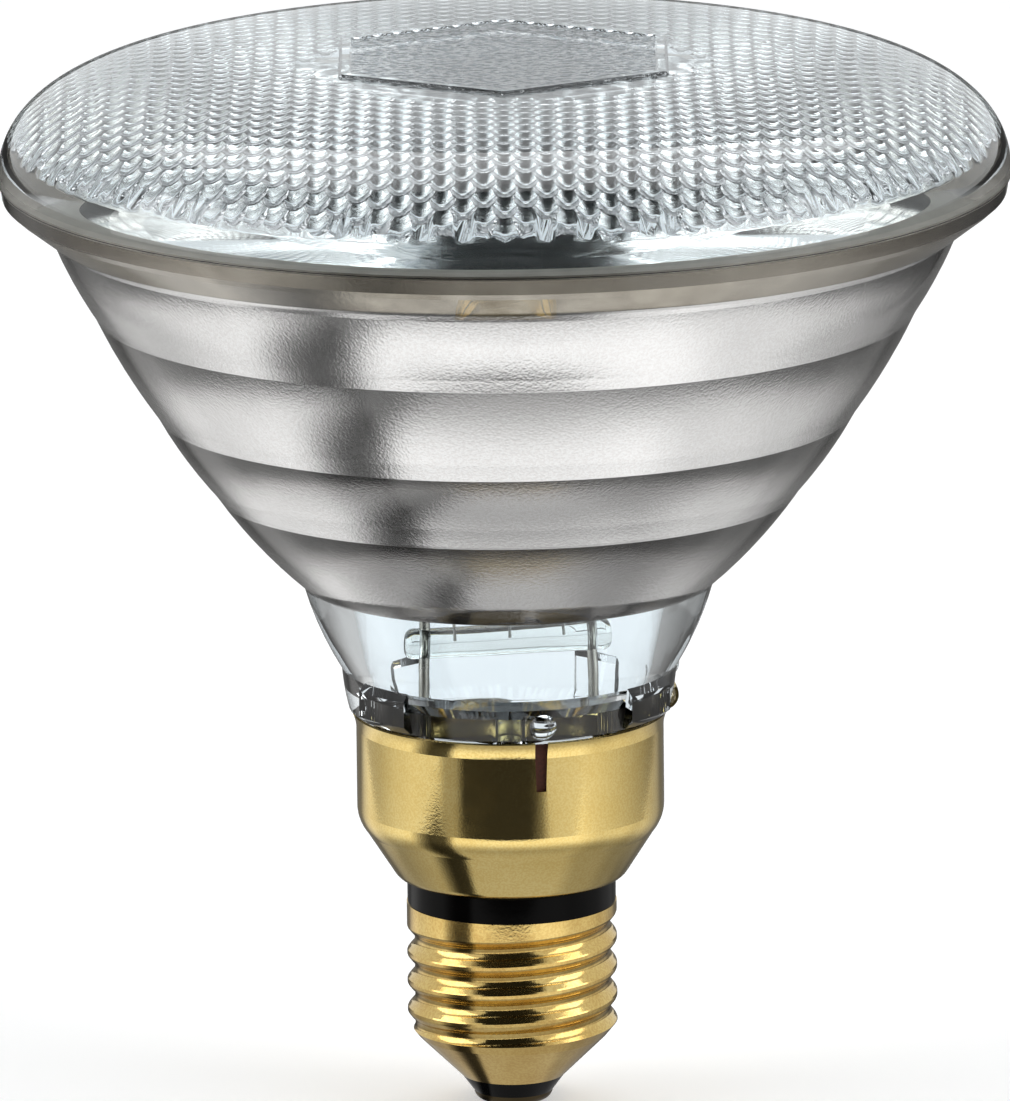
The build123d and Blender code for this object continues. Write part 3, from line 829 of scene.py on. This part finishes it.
# %% [markdown]
# ## Aluminised film
# The film lines the bowl's inner face above the clear neck. The mould made that face in four
# zones along a parabola, each a little hollow, so the reflections jump at the steps between them,
# and the lowest one is a little steeper. Above the zones the film is drawn up inside the flange
# and ends as a thin ring in the seam. The piece is one thin spun sheet that lies partly in the
# glass, so that light meets the metal with no air between. Its inner side is bare and bright.

# %% Spin the film
focal_length = 13.9
vertex_height = 54.75
wall_rise = 4.6
zone_hollow = 0.2
lowest_swell = 1.5
film_zones = (66.4, 78.7, 88.6, 101.2, 113.0)
# How far the film's two sides lie into the glass and out of it, measured along the axis
film_sink = 0.2
film_stand = 0.15
flange_radius = 58.0
film_inner_radius = 57.4
seam_ring_radius = 61.5
seam_ring_foot = (117.0, 117.4)
seam_ring_top = 117.85


def wall_radius(height, rise):
    """Radius of the parabola at a height; `rise` lifts it along the axis."""
    return 2 * sqrt(focal_length * (height - vertex_height - rise))


def zone_line(heights, rise, points=9):
    """Points up the bowl's wall, each zone slightly hollow between its two ends."""
    line = []
    for low, high in zip(heights, heights[1:]):
        ends = [wall_radius(low, rise), wall_radius(high, rise)]
        if low == heights[0]:
            ends[0] += lowest_swell
        for step in range(points):
            share = step / points
            radius = ends[0] + (ends[1] - ends[0]) * share - 4 * zone_hollow * share * (1 - share)
            line.append((radius, low + (high - low) * share))
    line.append((wall_radius(heights[-1], rise), heights[-1]))
    return line


bm = bmesh.new()
seam_ring = [
    (flange_radius, seam_ring_foot[0]),
    (seam_ring_radius, seam_ring_foot[1]),
    (seam_ring_radius, seam_ring_top),
]
outside = zone_line(film_zones, wall_rise - film_sink) + seam_ring
inside = zone_line(film_zones, wall_rise + film_stand) + [(film_inner_radius, seam_ring_top)]
spin_line(bm, outside + inside[::-1] + outside[:1], spin_steps)
film = make_piece(
    "film", bm, [aluminium_film, polished_film, dulled_film, seal_stain], ["mirror_film"],
    crease=3.5,
)
# The seam ring is stained, the side that faces the axis is bare, and the flange part is dulled
for polygon in film.data.polygons:
    if polygon.center.z > seam_ring_foot[0] * MM:
        polygon.material_index = 3
    elif polygon.normal.x * polygon.center.x + polygon.normal.y * polygon.center.y < 0:
        polygon.material_index = 1
    elif polygon.center.z > film_zones[-1] * MM:
        polygon.material_index = 2

# %% [markdown]
# ## Painted shade in the slot
# Behind the crimp slot there is only shade, so a dark red-brown strip stands there as painted
# shade. Only the strip that the slot lays bare is made: a thin block turned to the slot.

# %% Fill the slot
# The flecks of the painted-shade strip are this many mm across and high
strip_fleck_size = 1 / 3
strip_fleck_height = 0.05
# The strip is sized and placed in front, in mm, and then turned about the axis to the slot
slot_azimuth = radians(11.5)
strip_size = (2.2, 0.12, 6.6)
strip_place = (0, -18.56, 46.4)

# Painted shade: the dark red-brown of this strip stands for the shade behind the slot
slot_shade, tree = empty_material("basing_cement")
strip_fleck = add_node(
    tree, "ShaderNodeTexNoise", {"Vector": place(tree, strip_fleck_size), "Scale": 1.0, "Detail": 3.0}
).outputs["Fac"]
tint = add_node(
    tree,
    "ShaderNodeMix",
    {"Factor": strip_fleck, "A": linear("#5A2A1C"), "B": linear("#2A120C")},
    data_type="RGBA",
)
relief = add_node(
    tree, "ShaderNodeBump", {"Height": strip_fleck, "Distance": strip_fleck_height * MM, "Strength": 1.0}
)
shader = add_node(
    tree,
    "ShaderNodeBsdfPrincipled",
    {
        "Base Color": tint.outputs["Result"],
        "Roughness": 0.85,
        "IOR": 1.55,
        "Normal": relief.outputs["Normal"],
    },
)
add_node(tree, "ShaderNodeOutputMaterial", {"Surface": shader.outputs[0]})

bm = bmesh.new()
bmesh.ops.create_cube(
    bm, size=1.0,
    matrix=Matrix.Rotation(slot_azimuth, 4, "Z")
    @ Matrix.Translation(strip_place)
    @ Matrix.Diagonal((*strip_size, 1.0)),
)
make_piece("slot_cement", bm, [slot_shade])
